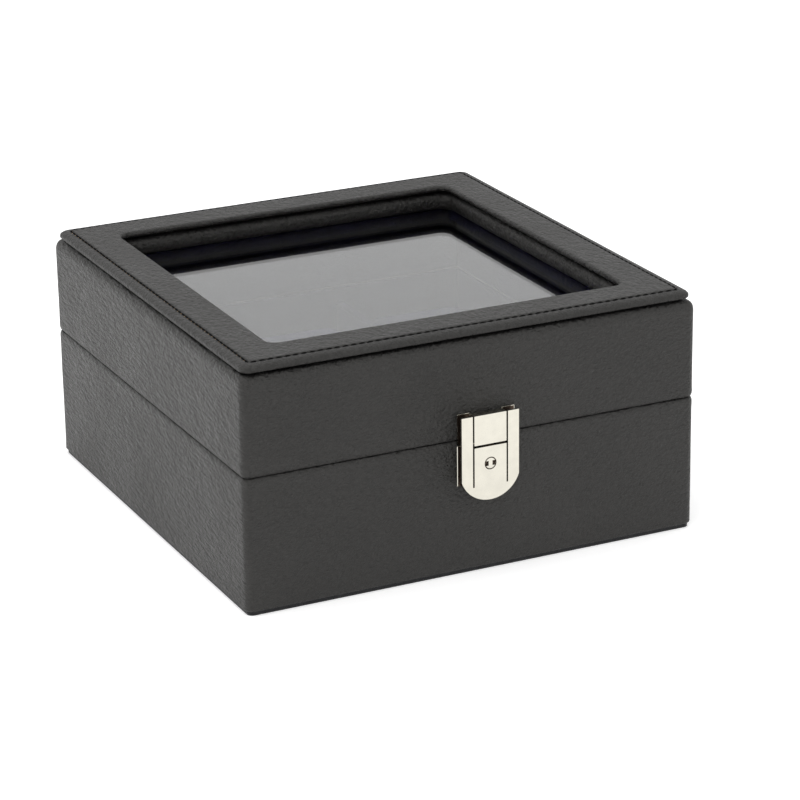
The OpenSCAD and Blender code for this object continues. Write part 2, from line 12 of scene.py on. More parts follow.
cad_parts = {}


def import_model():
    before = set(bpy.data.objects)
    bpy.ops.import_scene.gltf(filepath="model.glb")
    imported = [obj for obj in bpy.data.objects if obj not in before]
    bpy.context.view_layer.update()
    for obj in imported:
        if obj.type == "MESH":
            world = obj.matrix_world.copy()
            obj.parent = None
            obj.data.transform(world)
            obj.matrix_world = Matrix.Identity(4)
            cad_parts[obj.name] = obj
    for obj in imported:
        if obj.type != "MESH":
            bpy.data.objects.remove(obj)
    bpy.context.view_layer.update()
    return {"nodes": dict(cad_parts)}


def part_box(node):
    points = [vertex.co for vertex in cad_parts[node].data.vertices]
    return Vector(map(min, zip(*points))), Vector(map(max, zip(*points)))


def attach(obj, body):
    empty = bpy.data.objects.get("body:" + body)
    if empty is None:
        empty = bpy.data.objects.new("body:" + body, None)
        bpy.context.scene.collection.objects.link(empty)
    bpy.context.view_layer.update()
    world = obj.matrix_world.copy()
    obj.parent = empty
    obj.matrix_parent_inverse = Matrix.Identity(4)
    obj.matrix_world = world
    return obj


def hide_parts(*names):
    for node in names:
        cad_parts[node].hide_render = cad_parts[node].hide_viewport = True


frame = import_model()
nodes = frame["nodes"]
MM = 0.001


# ---- Places taken from the frame ----

base_low, base_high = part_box("base_leather")
lid_low, lid_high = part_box("lid_leather")
top_low, top_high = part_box("top_frame_leather")
bolster_low, bolster_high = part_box("window_bolster")
glass_low, glass_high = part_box("window_glass")
hollow_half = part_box("base_floor_board")[1]
plate_low, plate_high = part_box("lock_slider")

WALL_CORNER = 3.5 * MM
LEATHER = 0.8 * MM
FOOT_EDGE = (1.0 * MM, 1.0 * MM)
SEAM_EDGE = (1.1 * MM, 2.6 * MM)
SHOULDER_EDGE = (3.2 * MM, 4.4 * MM)
FRAME_CORNER = 4 * MM
WINDOW_CORNER = 5 * MM
GLASS_LAP = 5 * MM
STITCH_INSET = 4.3 * MM
STITCH_PITCH = 3.5 * MM
CREST_DROP = 0.35 * MM
FRAME_SAG = 0.55 * MM
FRAME_PUCKER = 0.09 * MM
HOLE_PULL = 0.12 * MM
VALLEY_DEPTH = 0.44 * MM
window_half_w = glass_high.x - GLASS_LAP
window_half_d = glass_high.y - GLASS_LAP

# Unevenness of each leather, as pairs of height and length
WALL_RELIEF = [(0.16 * MM, 42 * MM), (0.05 * MM, 11 * MM)]
FRAME_RELIEF = [(0.05 * MM, 26 * MM), (0.02 * MM, 8 * MM)]
BOLSTER_RELIEF = [(0.13 * MM, 14 * MM), (0.05 * MM, 4 * MM)]


# ---- Mesh helpers ----

class Around:
    """Even samples round a rectangle with round corners, the same number on every ring."""

    def __init__(self, half_w, half_d, step, arc_steps):
        self.across = max(2, round(2 * half_w / step))
        self.along = max(2, round(2 * half_d / step))
        self.arc = arc_steps

    def ring(self, half_w, half_d, radius):
        """Points and outward directions, counter-clockwise from the right side's low end."""
        sides = [
            (half_w, half_d, self.along),
            (half_d, half_w, self.across),
            (half_w, half_d, self.along),
            (half_d, half_w, self.across),
        ]
        points, normals = [], []
        for turn, (out, reach, count) in enumerate(sides):
            angle = turn * math.pi / 2
            cos_a, sin_a = math.cos(angle), math.sin(angle)
            local = []
            for i in range(count):
                y = (reach - radius) * (2 * i / count - 1)
                local.append((out, y, 1.0, 0.0))
            for i in range(self.arc):
                a = math.pi / 2 * i / self.arc
                nx, ny = math.cos(a), math.sin(a)
                local.append((out - radius + radius * nx, reach - radius + radius * ny, nx, ny))
            for x, y, nx, ny in local:
                points.append((x * cos_a - y * sin_a, x * sin_a + y * cos_a))
                normals.append((nx * cos_a - ny * sin_a, nx * sin_a + ny * cos_a))
        return np.array(points), np.array(normals)


def ellipse_points(centre, reach, start, end, count):
    """Points on part of an ellipse, angles in degrees."""
    angles = [math.radians(start + (end - start) * i / count) for i in range(count + 1)]
    return [(centre[0] + reach[0] * math.cos(a), centre[1] + reach[1] * math.sin(a)) for a in angles]


def arc_points(centre, radius, start, end, count):
    """Points on an arc, angles in degrees."""
    return ellipse_points(centre, (radius, radius), start, end, count)


def line_points(start, end, count):
    """Points from start to end, both left in."""
    return [
        (start[0] + (end[0] - start[0]) * i / count, start[1] + (end[1] - start[1]) * i / count)
        for i in range(count + 1)
    ]


def without_repeats(points):
    """The same points with none following its twin."""
    kept = []
    for p in points:
        if not kept or math.dist(p, kept[-1]) > 1e-6:
            kept.append(p)
    if math.dist(kept[0], kept[-1]) < 1e-6:
        kept.pop()
    return kept


def new_object(name, verts, faces, material, smooth=True):
    """A mesh object in the scene, its faces turned outwards."""
    mesh = bpy.data.meshes.new(name)
    mesh.from_pydata([tuple(v) for v in verts], [], faces)
    mesh.validate()
    bm = bmesh.new()
    bm.from_mesh(mesh)
    bmesh.ops.recalc_face_normals(bm, faces=bm.faces)
    bm.to_mesh(mesh)
    bm.free()
    for polygon in mesh.polygons:
        polygon.use_smooth = smooth
    mesh.materials.append(material)
    obj = bpy.data.objects.new(name, mesh)
    bpy.context.scene.collection.objects.link(obj)
    return obj


def apply_modifiers(obj):
    """Replaces an object's mesh with its evaluated one and drops its modifiers."""
    graph = bpy.context.evaluated_depsgraph_get()
    mesh = bpy.data.meshes.new_from_object(obj.evaluated_get(graph))
    obj.modifiers.clear()
    obj.data = mesh


def cut_box(obj, low, high):
    """Takes a box out of a closed mesh."""
    bm = bmesh.new()
    bmesh.ops.create_cube(bm, size=1, matrix=Matrix.LocRotScale((low + high) / 2, None, high - low))
    mesh = bpy.data.meshes.new("cutter")
    bm.to_mesh(mesh)
    bm.free()
    cutter = bpy.data.objects.new("cutter", mesh)
    bpy.context.scene.collection.objects.link(cutter)
    cut = obj.modifiers.new("Cut", "BOOLEAN")
    cut.operation = "DIFFERENCE"
    cut.solver = "EXACT"
    cut.object = cutter
    apply_modifiers(obj)
    bpy.data.objects.remove(cutter)


def ring_loft(name, around, sections, material, shape=None):
    """A closed tube of rings. Each section is (half_w, half_d, radius, z); shape moves the points."""
    rings, outward = [], []
    for half_w, half_d, radius, z in sections:
        points, normals = around.ring(half_w, half_d, radius)
        rings.append(np.column_stack([points, np.full(len(points), z)]))
        outward.append(np.column_stack([normals, np.zeros(len(normals))]))
    rings, outward = np.array(rings), np.array(outward)
    if shape is not None:
        rings = shape(rings, outward)
    count, length = rings.shape[:2]
    faces = []
    for i in range(count):
        j = (i + 1) % count
        for k in range(length):
            m = (k + 1) % length
            faces.append((i * length + k, i * length + m, j * length + m, j * length + k))
    return new_object(name, rings.reshape(-1, 3), faces, material)


def wave(point, length, seed):
    """Smooth noise from -1 to 1 whose bumps are about length across."""
    p = Vector(point) / length
    return noise.noise(p + Vector((seed * 17.3, seed * 5.1, seed * 9.7)))


def relief(point, kinds, seed):
    """Waves of several heights and lengths laid over one another."""
    return sum(height * wave(point, length, seed + i) for i, (height, length) in enumerate(kinds))


def sunk_relief(point, kinds, seed):
    """The same waves, shifted so that they are never below zero."""
    return sum(height for height, length in kinds) + relief(point, kinds, seed)


def smoothstep(low, high, value):
    """0 at low, 1 at high, and an easy curve between. High may be the smaller one."""
    t = np.clip((value - low) / (high - low), 0, 1)
    return t * t * (3 - 2 * t)


# ---- Materials ----

class Shader:
    """A node tree being built, with short calls for the nodes that the materials share."""

    def __init__(self, name):
        self.material = bpy.data.materials.new(name)
        self.material.use_nodes = True
        self.tree = self.material.node_tree
        self.tree.nodes.clear()
        self.output = self.add("ShaderNodeOutputMaterial")
        self.bsdf = self.add("ShaderNodeBsdfPrincipled")
        self.link(self.bsdf.outputs["BSDF"], self.output.inputs["Surface"])
        self.place = self.add("ShaderNodeTexCoord").outputs["Object"]

    def add(self, kind, **settings):
        node = self.tree.nodes.new(kind)
        for key, value in settings.items():
            setattr(node, key, value)
        return node

    def link(self, out, into):
        self.tree.links.new(out, into)

    def set(self, **values):
        """Sets Principled sockets: spaces in a socket's name are underscores here."""
        for key, value in values.items():
            self.bsdf.inputs[key.replace("_", " ")].default_value = value

    def stretched(self, scale):
        """The object's coordinates, stretched by a different amount on each axis."""
        mapping = self.add("ShaderNodeMapping")
        mapping.inputs["Scale"].default_value = scale
        self.link(self.place, mapping.inputs["Vector"])
        return mapping.outputs["Vector"]

    def shifted(self, place, factor, reach):
        """Coordinates pushed about by a noise, so that cells lose their regular look."""
        push = self.add("ShaderNodeVectorMath", operation="SCALE")
        self.link(factor, push.inputs[0])
        push.inputs["Scale"].default_value = 2 * reach
        total = self.add("ShaderNodeVectorMath", operation="ADD")
        self.link(place, total.inputs[0])
        self.link(push.outputs[0], total.inputs[1])
        return total.outputs[0]

    def noise(self, size, detail=3, roughness=0.5, distortion=0.0, vector=None):
        """Noise whose grains are about size metres across."""
        node = self.add("ShaderNodeTexNoise")
        node.inputs["Scale"].default_value = 1 / size
        node.inputs["Detail"].default_value = detail
        node.inputs["Roughness"].default_value = roughness
        node.inputs["Distortion"].default_value = distortion
        self.link(vector or self.place, node.inputs["Vector"])
        return node.outputs["Fac"]

    def cells(self, size, feature="DISTANCE_TO_EDGE", vector=None):
        """Voronoi cells about size metres across."""
        node = self.add("ShaderNodeTexVoronoi", feature=feature)
        node.inputs["Scale"].default_value = 1 / size
        self.link(vector or self.place, node.inputs["Vector"])
        return node.outputs["Distance"]

    def math(self, operation, a, b):
        node = self.add("ShaderNodeMath", operation=operation)
        for socket, value in zip(node.inputs, (a, b)):
            if isinstance(value, (int, float)):
                socket.default_value = value
            else:
                self.link(value, socket)
        return node.outputs[0]

    def ramp(self, factor, low, high, colour_low, colour_high):
        """A colour ramp between two places on a 0 to 1 factor."""
        node = self.add("ShaderNodeValToRGB")
        ends = node.color_ramp.elements
        ends[0].position, ends[1].position = low, high
        ends[0].color, ends[1].color = (*colour_low, 1), (*colour_high, 1)
        self.link(factor, node.inputs["Fac"])
        return node.outputs["Color"]

    def span(self, factor, low, high, to_low, to_high):
        """Maps low..high of a factor to to_low..to_high."""
        node = self.add("ShaderNodeMapRange")
        for socket, value in zip(node.inputs[1:5], (low, high, to_low, to_high)):
            socket.default_value = value
        self.link(factor, node.inputs[0])
        return node.outputs[0]

    def bump(self, height, distance, strength=1.0, under=None):
        node = self.add("ShaderNodeBump")
        node.inputs["Distance"].default_value = distance
        node.inputs["Strength"].default_value = strength
        self.link(height, node.inputs["Height"])
        if under is not None:
            self.link(under, node.inputs["Normal"])
        return node.outputs["Normal"]

    def done(self, colour=None, roughness=None, normal=None):
        for value, socket in ((colour, "Base Color"), (roughness, "Roughness"), (normal, "Normal")):
            if value is not None:
                self.link(value, self.bsdf.inputs[socket])
        return self.material


def leather_material(name, stretch, depth, gloss=0.5, grain=1.7 * MM):
    """Black leather with a pebbled grain. Stretch lengthens the grain on each axis."""
    s = Shader(name)
    place = s.stretched(tuple(1 / factor for factor in stretch))
    bend = s.noise(3.5 * MM, detail=2)
    pebble = s.cells(grain, "SMOOTH_F1", s.shifted(place, bend, 1.1 * MM))
    crease = s.noise(1.5 * MM, detail=3, roughness=0.55, distortion=1.2, vector=place)
    fine = s.noise(0.7 * MM, detail=2, roughness=0.6, vector=place)
    height = s.math("ADD", s.math("MULTIPLY", pebble, -0.5), s.math("MULTIPLY", crease, 0.7))
    height = s.math("ADD", height, s.math("MULTIPLY", fine, 0.2))
    broad = s.bump(s.noise(11 * MM, detail=3), 0.25 * MM, 0.6)
    normal = s.bump(height, depth, 1.0, broad)
    patches = s.noise(38 * MM, detail=4, roughness=0.6)
    tone = s.math("ADD", s.math("MULTIPLY", patches, 0.4), s.math("MULTIPLY", crease, 0.6))
    colour = s.ramp(tone, 0.35, 0.65, (0.0035, 0.0033, 0.0032), (0.0175, 0.0168, 0.0160))
    roughness = s.span(tone, 0.35, 0.65, 0.38, 0.56)
    s.set(Specular_IOR_Level=gloss, IOR=1.5, Specular_Tint=(1.0, 0.985, 0.955, 1))
    return s.done(colour, roughness, normal)


def velvet_material(name, dark, light, pile=0.45 * MM):
    """Short velvet: a sheen at grazing angles over a deep colour, with brushed patches."""
    s = Shader(name)
    fibres = s.noise(pile, detail=3, roughness=0.7)
    brushed = s.noise(16 * MM, detail=3, distortion=0.8)
    mixed = s.math("ADD", s.math("MULTIPLY", fibres, 0.4), s.math("MULTIPLY", brushed, 0.6))
    colour = s.ramp(mixed, 0.3, 0.7, dark, light)
    normal = s.bump(fibres, 0.12 * MM, 0.8, s.bump(brushed, 0.4 * MM, 0.5))
    s.set(Sheen_Weight=0.35, Sheen_Roughness=0.35, Sheen_Tint=(0.12, 0.12, 0.55, 1))
    s.set(Specular_IOR_Level=0.05)
    return s.done(colour, s.span(brushed, 0.3, 0.7, 0.85, 0.95), normal)


def metal_material(name, colour, roughness_low, roughness_high):
    """Polished nickel with faint brushing and a little tarnish in patches."""
    s = Shader(name)
    brushing = s.noise(0.25 * MM, detail=2, vector=s.stretched((1, 1, 0.06)))
    tarnish = s.noise(5 * MM, detail=4, roughness=0.6)
    darker = tuple(c * 0.93 for c in colour)
    rough = s.math("ADD", s.math("MULTIPLY", brushing, 0.4), s.math("MULTIPLY", tarnish, 0.6))
    s.set(Metallic=1.0)
    return s.done(
        s.ramp(tarnish, 0.35, 0.65, darker, colour),
        s.span(rough, 0.3, 0.7, roughness_low, roughness_high),
        s.bump(brushing, 0.004 * MM, 0.5),
    )


def board_material():
    """Fibreboard: short tan fibres in a paler ground."""
    s = Shader("fibreboard")
    fibres = s.noise(0.9 * MM, detail=5, roughness=0.7, distortion=1.5)
    flecks = s.cells(1.6 * MM, "F1")
    mixed = s.math("ADD", s.math("MULTIPLY", fibres, 0.75), s.math("MULTIPLY", flecks, 0.25))
    colour = s.ramp(mixed, 0.3, 0.7, (0.24, 0.15, 0.08), (0.46, 0.32, 0.19))
    return s.done(colour, s.span(fibres, 0.3, 0.7, 0.75, 0.9), s.bump(fibres, 0.15 * MM, 0.7))


def felt_material():
    """Black felt of tangled fibres."""
    s = Shader("felt")
    fibres = s.noise(0.5 * MM, detail=5, roughness=0.75, distortion=2.0)
    clumps = s.noise(4 * MM, detail=3)
    mixed = s.math("ADD", s.math("MULTIPLY", fibres, 0.6), s.math("MULTIPLY", clumps, 0.4))
    colour = s.ramp(mixed, 0.3, 0.7, (0.006, 0.006, 0.007), (0.022, 0.022, 0.024))
    s.set(Sheen_Weight=0.25, Sheen_Roughness=0.5, Specular_IOR_Level=0.2)
    return s.done(colour, s.span(fibres, 0.3, 0.7, 0.88, 0.98), s.bump(fibres, 0.3 * MM, 0.9))


def glass_material():
    """Clear glass with the faintest smears."""
    s = Shader("clear_glass")
    smears = s.noise(22 * MM, detail=3, distortion=0.6)
    s.set(Base_Color=(0.97, 0.985, 0.98, 1), Transmission_Weight=1.0, IOR=1.5)
    return s.done(roughness=s.span(smears, 0.4, 0.8, 0.0, 0.012))


def thread_material():
    """Waxed black thread with a twist."""
    s = Shader("thread")
    twist = s.noise(0.22 * MM, detail=2, distortion=1.0)
    colour = s.ramp(twist, 0.35, 0.65, (0.002, 0.002, 0.002), (0.006, 0.006, 0.006))
    s.set(Specular_IOR_Level=0.08)
    return s.done(colour, s.span(twist, 0.3, 0.7, 0.6, 0.8), s.bump(twist, 0.05 * MM, 0.8))


leather = leather_material("black_leather", (1.1, 2.6, 0.8), 1.45 * MM)
top_leather = leather_material("top_leather", (1.0, 1.5, 1.0), 1.3 * MM, 0.45)
lining_velvet = velvet_material("navy_velvet", (0.003, 0.003, 0.014), (0.008, 0.007, 0.036))
cushion_velvet = velvet_material("cushion_velvet", (0.006, 0.006, 0.022), (0.016, 0.016, 0.055))
nickel = metal_material("polished_nickel", (0.635, 0.61, 0.535), 0.08, 0.16)
# Painted shade: a dark brown metal colour that stands in for the shade between the lock's plates and
# inside its keyholes
painted_shade_metal = metal_material("metal_painted_with_shade", (0.085, 0.062, 0.048), 0.35, 0.5)
steel = metal_material("hinge_steel", (0.70, 0.68, 0.64), 0.18, 0.3)
fibreboard = board_material()
felt = felt_material()
glass = glass_material()
thread = thread_material()


# ---- Leather over the walls ----

def wall_profile(low, high, low_edge, high_edge):
    """Inset and height round the leather of a wall: outside going up, then back inside.

    Each edge is a quarter of an ellipse, given by how far it reaches in and how far up or down.
    """
    inner = base_high.x - hollow_half.x
    low_centre = (low_edge[0], low + low_edge[1])
    high_centre = (high_edge[0], high - high_edge[1])
    outside = line_points((inner, low), (low_edge[0], low), 6)
    outside += ellipse_points(low_centre, low_edge, 270, 180, 8)
    outside += line_points((0, low_centre[1]), (0, high_centre[1]), 22)
    outside += ellipse_points(high_centre, high_edge, 180, 90, 10)
    outside += line_points((high_edge[0], high), (inner, high), 6)
    low_inside = tuple(reach - LEATHER for reach in low_edge)
    high_inside = tuple(reach - LEATHER for reach in high_edge)
    inside = line_points((inner, high - LEATHER), (high_edge[0], high - LEATHER), 6)
    inside += ellipse_points(high_centre, high_inside, 90, 180, 6)
    inside += ellipse_points(low_centre, low_inside, 180, 270, 4)
    inside += line_points((low_edge[0], low + LEATHER), (inner, low + LEATHER), 6)
    return without_repeats(outside + inside)


def leaf_plate(name):
    """The box of a hinge leaf's flat part, which lies in the rim."""
    obj = nodes[name]
    points = [obj.matrix_world @ v.co for v in obj.data.vertices]
    flat = [p for p in points if p.y < base_high.y - MM]
    low = Vector([min(p[i] for p in flat) for i in range(3)])
    high = Vector([max(p[i] for p in flat) for i in range(3)])
    return low, high


def cut_leaf_slots(cover, part, opens_up):
    """Cuts the leather back round the hinge leaves, so that they lie flush in the rim."""
    play = 0.1
    for name in (f"hinge_{part}_leaf_left", f"hinge_{part}_leaf_right"):
        low, high = leaf_plate(name)
        low -= Vector((play, play, 0 if opens_up else 1)) * MM
        high += Vector((play, 0, 1 if opens_up else 0)) * MM
        high.y = base_high.y + MM
        cut_box(cover, low, high)
    cover.data.set_sharp_from_angle(angle=math.radians(50))


def wall_cover(name, node, low_edge, high_edge, seed):
    """The leather of the base or the lid, with the slight unevenness of leather over board."""
    low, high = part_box(node)
    around = Around(high.x, high.y, 2.2 * MM, 8)
    profile = wall_profile(low.z, high.z, low_edge, high_edge)
    sections = [
        (high.x - inset, high.y - inset, max(WALL_CORNER - inset, 0.05 * MM), z)
        for inset, z in profile
    ]
    on_skin = np.array([inset < LEATHER * 0.5 for inset, z in profile])
    heights = np.array([z for inset, z in profile])
    edge = 5 * MM
    held_in = 0.12 * MM
    calm = smoothstep(low.z, low.z + edge, heights) * smoothstep(high.z, high.z - edge, heights)

    def shape(rings, outward):
        for i in np.nonzero(on_skin)[0]:
            for k in range(rings.shape[1]):
                p = rings[i, k]
                push = relief(p, WALL_RELIEF, seed) - held_in
                rings[i, k] = p + outward[i, k] * push * calm[i]
        return rings

    cover = ring_loft(name, around, sections, leather, shape)
    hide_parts(node)
    return cover


base_cover = wall_cover("base_leather_cover", "base_leather", FOOT_EDGE, SEAM_EDGE, 1)
cut_leaf_slots(base_cover, "base", True)
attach(base_cover, "base")
lid_cover = wall_cover("lid_leather_cover", "lid_leather", SEAM_EDGE, SHOULDER_EDGE, 5)
cut_leaf_slots(lid_cover, "lid", False)
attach(lid_cover, "lid")


# ---- Stitched top frame ----

def frame_sections():
    """Rings of the top frame from its underside, round the outer edge, to the window's edge.

    Outside the stitches the leather lies a little lower and rolls down to the outer edge.
    """
    width = top_high.x - window_half_w
    thick = top_high.z - top_low.z
    fold = 0.55 * MM
    crest = STITCH_INSET - 0.8 * MM
    crest_z = thick - CREST_DROP
    side = 1.0 * MM
    lip_z = thick - 3 * MM + 0.2 * MM
    nose = 1.4 * MM
    tucked_under = 8 * MM
    lip_depth = 6 * MM
    profile = line_points((width - tucked_under, 0), (fold, 0), 5)
    profile += arc_points((fold, fold), fold, 270, 180, 5)
    for i in range(13):
        a = math.pi / 2 * i / 12
        profile.append((crest * (1 - math.cos(a)), side + (crest_z - side) * math.sin(a)))
    valley = [(-0.6, 0.38), (-0.4, 0.5), (-0.2, 0.62), (0.0, 0.66), (0.2, 0.58), (0.42, 0.3), (0.7, 0.1),
              (1.1, 0.02)]
    profile += [(STITCH_INSET + aside * MM, thick - drop * MM) for aside, drop in valley]
    profile += line_points((STITCH_INSET + 1.6 * MM, thick), (width - 2.4 * MM, thick - 0.02 * MM), 9)
    profile += arc_points((width - nose, thick - nose), nose, 80, -90, 12)
    profile += line_points((width - nose, lip_z), (width - lip_depth, lip_z), 2)
    sections = []
    for inset, height in without_repeats(profile):
        plain = FRAME_CORNER - inset * 0.55
        inward = smoothstep(2 * STITCH_INSET, width, inset)
        radius = max(plain, 1.6 * MM) * (1 - inward) + WINDOW_CORNER * inward
        sections.append((top_high.x - inset, top_high.y - inset, radius, top_low.z + height))
    return sections


def cornerness(ring, half, reach):
    """How near each point of a ring is to a corner of the box: 1 at a corner, 0 past reach."""
    aside = np.maximum(half.x - np.abs(ring[:, 0]), half.y - np.abs(ring[:, 1]))
    return 1 - smoothstep(2 * MM, reach, aside)


def stitch_ring(around):
    """The stitch line, and how far along it each sample lies."""
    radius = max(FRAME_CORNER - 0.55 * STITCH_INSET, 1.6 * MM)
    points = around.ring(top_high.x - STITCH_INSET, top_high.y - STITCH_INSET, radius)[0]
    steps = np.linalg.norm(np.roll(points, -1, axis=0) - points, axis=1)
    along = np.concatenate([[0], np.cumsum(steps)])
    return points, along


def top_frame():
    """The frame's leather: sagging and puckered at its corners, pulled down at the needle holes."""
    around = Around(top_high.x, top_high.y, 0.6 * MM, 12)
    points, along = stitch_ring(around)
    count = round(along[-1] / STITCH_PITCH)
    pitch = along[-1] / count
    phase = np.cos(2 * math.pi * along[:-1] / pitch)

    def shape(rings, outward):
        insets = top_high.x - np.abs(rings[:, around.along // 2, 0])
        near_stitch = np.exp(-((insets - STITCH_INSET) / (0.5 * MM)) ** 2)
        top_side = rings[:, 0, 2] > top_high.z - 1.5 * MM
        corner = cornerness(rings[0], top_high, 9 * MM)
        folds = np.cos(np.arange(len(corner)) * 2 * math.pi / 5)
        for i in range(len(rings)):
            height = (rings[i, 0, 2] - top_low.z) / (top_high.z - top_low.z)
            if insets[i] < STITCH_INSET:
                low_down = 1 - smoothstep(0.0, 0.55, height)
                rings[i, :, 2] -= FRAME_SAG * corner * low_down
                pucker = FRAME_PUCKER * folds * smoothstep(0.8, 1.0, corner) * (1 - height)
                rings[i] += outward[i] * pucker[:, None]
            if top_side[i]:
                rings[i, :, 2] -= HOLE_PULL * near_stitch[i] * (0.5 + 0.5 * phase)
                for k in range(rings.shape[1]):
                    rings[i, k, 2] -= sunk_relief(rings[i, k], FRAME_RELIEF, 3)
        return rings

    cover = ring_loft("top_frame_cover", around, frame_sections(), top_leather, shape)
    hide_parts("top_frame_leather")
    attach(cover, "lid")
    return points, along, count


def stitches(points, along, count):
    """One short thread between each pair of needle holes, sunk at both ends."""
    length = along[-1] / count
    rings_in_stitch = 7
    sides = 8
    radius = 0.36 * MM
    half_stitch = 0.5 - 0.12
    end_depth = 0.2 * MM
    rise = 0.36 * MM
    closed = np.vstack([points, points[:1]])
    verts, faces = [], []
    valley_z = top_high.z - VALLEY_DEPTH - 0.08 * MM
    for n in range(count):
        first = len(verts)
        for i in range(rings_in_stitch):
            share = i / (rings_in_stitch - 1)
            s = (n + 0.5 + half_stitch * (2 * share - 1)) * length
            x = np.interp(s, along, closed[:, 0])
            y = np.interp(s, along, closed[:, 1])
            ahead = s + 0.2 * MM
            tangent = Vector((np.interp(ahead, along, closed[:, 0]) - x,
                              np.interp(ahead, along, closed[:, 1]) - y, 0)).normalized()
            side = Vector((-tangent.y, tangent.x, 0))
            bow = math.sin(math.pi * share) ** 0.5
            size = radius * (0.4 + 0.6 * bow)
            centre = Vector((x, y, valley_z - end_depth + rise * bow))
            for j in range(sides):
                a = 2 * math.pi * j / sides
                verts.append(centre + (side * math.cos(a) + Vector((0, 0, 1)) * math.sin(a)) * size)
        for i in range(rings_in_stitch - 1):
            for j in range(sides):
                m = (j + 1) % sides
                low, high = first + i * sides, first + (i + 1) * sides
                faces.append((low + j, low + m, high + m, high + j))
        faces.append(tuple(first + j for j in range(sides)))
        last = first + (rings_in_stitch - 1) * sides
        faces.append(tuple(last + j for j in range(sides)))
    obj = new_object("top_frame_stitching", verts, faces, thread)
    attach(obj, "lid")


stitches(*top_frame())


# ---- Padded bolster round the window ----

def bolster():
    """A plump leather roll from under the top frame down to the glass."""
    low, high = bolster_low.z, bolster_high.z
    roll = 6 * MM
    round_r = 3.0 * MM
    undercut = 1.7 * MM
    profile = [(roll, low), (undercut + 0.5 * MM, low)]
    for i in range(9):
        a = math.pi / 2 * i / 8
        rise = (high - round_r - low) * (1 - math.cos(a)) ** 0.8
        profile.append((undercut * (1 - math.sin(a)), low + rise))
    profile += arc_points((round_r, high - round_r), round_r, 180, 90, 10)
    profile += line_points((4.2 * MM, high), (roll, high - 0.3 * MM), 2)
    around = Around(window_half_w, window_half_d, 1.4 * MM, 12)
    sections = [
        (window_half_w + inset, window_half_d + inset, WINDOW_CORNER + inset, z)
        for inset, z in without_repeats(profile)
    ]

    def shape(rings, outward):
        for i in range(1, len(rings) - 1):
            for k in range(rings.shape[1]):
                p = rings[i, k]
                rings[i, k] = p + outward[i, k] * sunk_relief(p, BOLSTER_RELIEF, 8)
        return rings

    obj = ring_loft("bolster_cover", around, sections, top_leather, shape)
    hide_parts("window_bolster")
    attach(obj, "lid")


bolster()


# ---- Cushions ----

CUSHIONS = [
    f"cushion_{row}_{column}"
    for row in ("front", "back")
    for column in ("left", "middle", "right")
]
SHRINK = 2.2 * MM
VOXEL = 4.5 * MM
MOST_MOVE = 4.5 * MM


def pillow_start(half):
    """An oval pillow, flat at its two ends, a little smaller than its place."""
    verts, faces = [], []
    around_count, across_count = 36, 12
    for i in range(across_count + 1):
        x = (2 * i / across_count - 1) * (half.x - SHRINK)
        for j in range(around_count):
            a = 2 * math.pi * j / around_count
            y = (half.y - SHRINK) * math.copysign(abs(math.cos(a)) ** 0.62, math.cos(a))
            z = (half.z - SHRINK) * math.copysign(abs(math.sin(a)) ** 0.72, math.sin(a))
            verts.append((x, y, z))
    for i in range(across_count):
        for j in range(around_count):
            m = (j + 1) % around_count
            faces.append((i * around_count + j, i * around_count + m,
                          (i + 1) * around_count + m, (i + 1) * around_count + j))
    faces.append(tuple(range(around_count)))
    faces.append(tuple(across_count * around_count + j for j in range(around_count)))
    return new_object("pillow_start", verts, faces, cushion_velvet)


def inflate(obj):
    """Blows the cloth up with air pressure, then caps how far each point moved."""
    before = np.array([v.co for v in obj.data.vertices])
    cloth = obj.modifiers.new("Cloth", "CLOTH")
    cloth.settings.quality = 6
    cloth.settings.mass = 0.25
    cloth.settings.tension_stiffness = 18
    cloth.settings.compression_stiffness = 18
    cloth.settings.bending_stiffness = 0.6
    cloth.settings.use_pressure = True
    cloth.settings.uniform_pressure_force = 120
    cloth.settings.effector_weights.gravity = 0
    for step in range(1, 21):
        bpy.context.scene.frame_set(step)
    apply_modifiers(obj)
    after = np.array([v.co for v in obj.data.vertices])
    move = after - before
    length = np.linalg.norm(move, axis=1, keepdims=True)
    move *= np.minimum(1, MOST_MOVE / np.maximum(length, 1e-9))
    obj.data.vertices.foreach_set("co", (before + move).ravel())
    bpy.context.scene.frame_set(1)


def pillow(half):
    """A finished pillow about the origin, made once and shared by the six cushions."""
    obj = pillow_start(half)
    remesh = obj.modifiers.new("Remesh", "REMESH")
    remesh.mode = "VOXEL"
    remesh.voxel_size = VOXEL
    apply_modifiers(obj)
    inflate(obj)
    smooth = obj.modifiers.new("Smooth", "SUBSURF")
    smooth.levels = smooth.render_levels = 2
    apply_modifiers(obj)
    return obj


def seam_loops(obj, x):
    """The closed line where the plane at x cuts the mesh, as points in order."""
    bm = bmesh.new()
    bm.from_mesh(obj.data)
    cut = bmesh.ops.bisect_plane(
        bm, geom=bm.verts[:] + bm.edges[:] + bm.faces[:], plane_co=(x, 0, 0), plane_no=(1, 0, 0)
    )
    edges = [g for g in cut["geom_cut"] if isinstance(g, bmesh.types.BMEdge)]
    ring = {v for e in edges for v in e.verts}
    points = sorted((v.co.copy() for v in ring), key=lambda p: math.atan2(p.z, p.y))
    bm.free()
    return points


def tube(name, points, radius, sides, material):
    """A closed tube round a flat loop of points in a plane of constant x."""
    count = len(points)
    verts, faces = [], []
    for i, p in enumerate(points):
        tangent = (points[(i + 1) % count] - points[i - 1]).normalized()
        out = Vector((0, tangent.z, -tangent.y))
        for j in range(sides):
            a = 2 * math.pi * j / sides
            verts.append(p + (out * math.cos(a) + Vector((1, 0, 0)) * math.sin(a)) * radius)
    for i in range(count):
        k = (i + 1) % count
        for j in range(sides):
            m = (j + 1) % sides
            faces.append((i * sides + j, i * sides + m, k * sides + m, k * sides + j))
    return new_object(name, verts, faces, material)


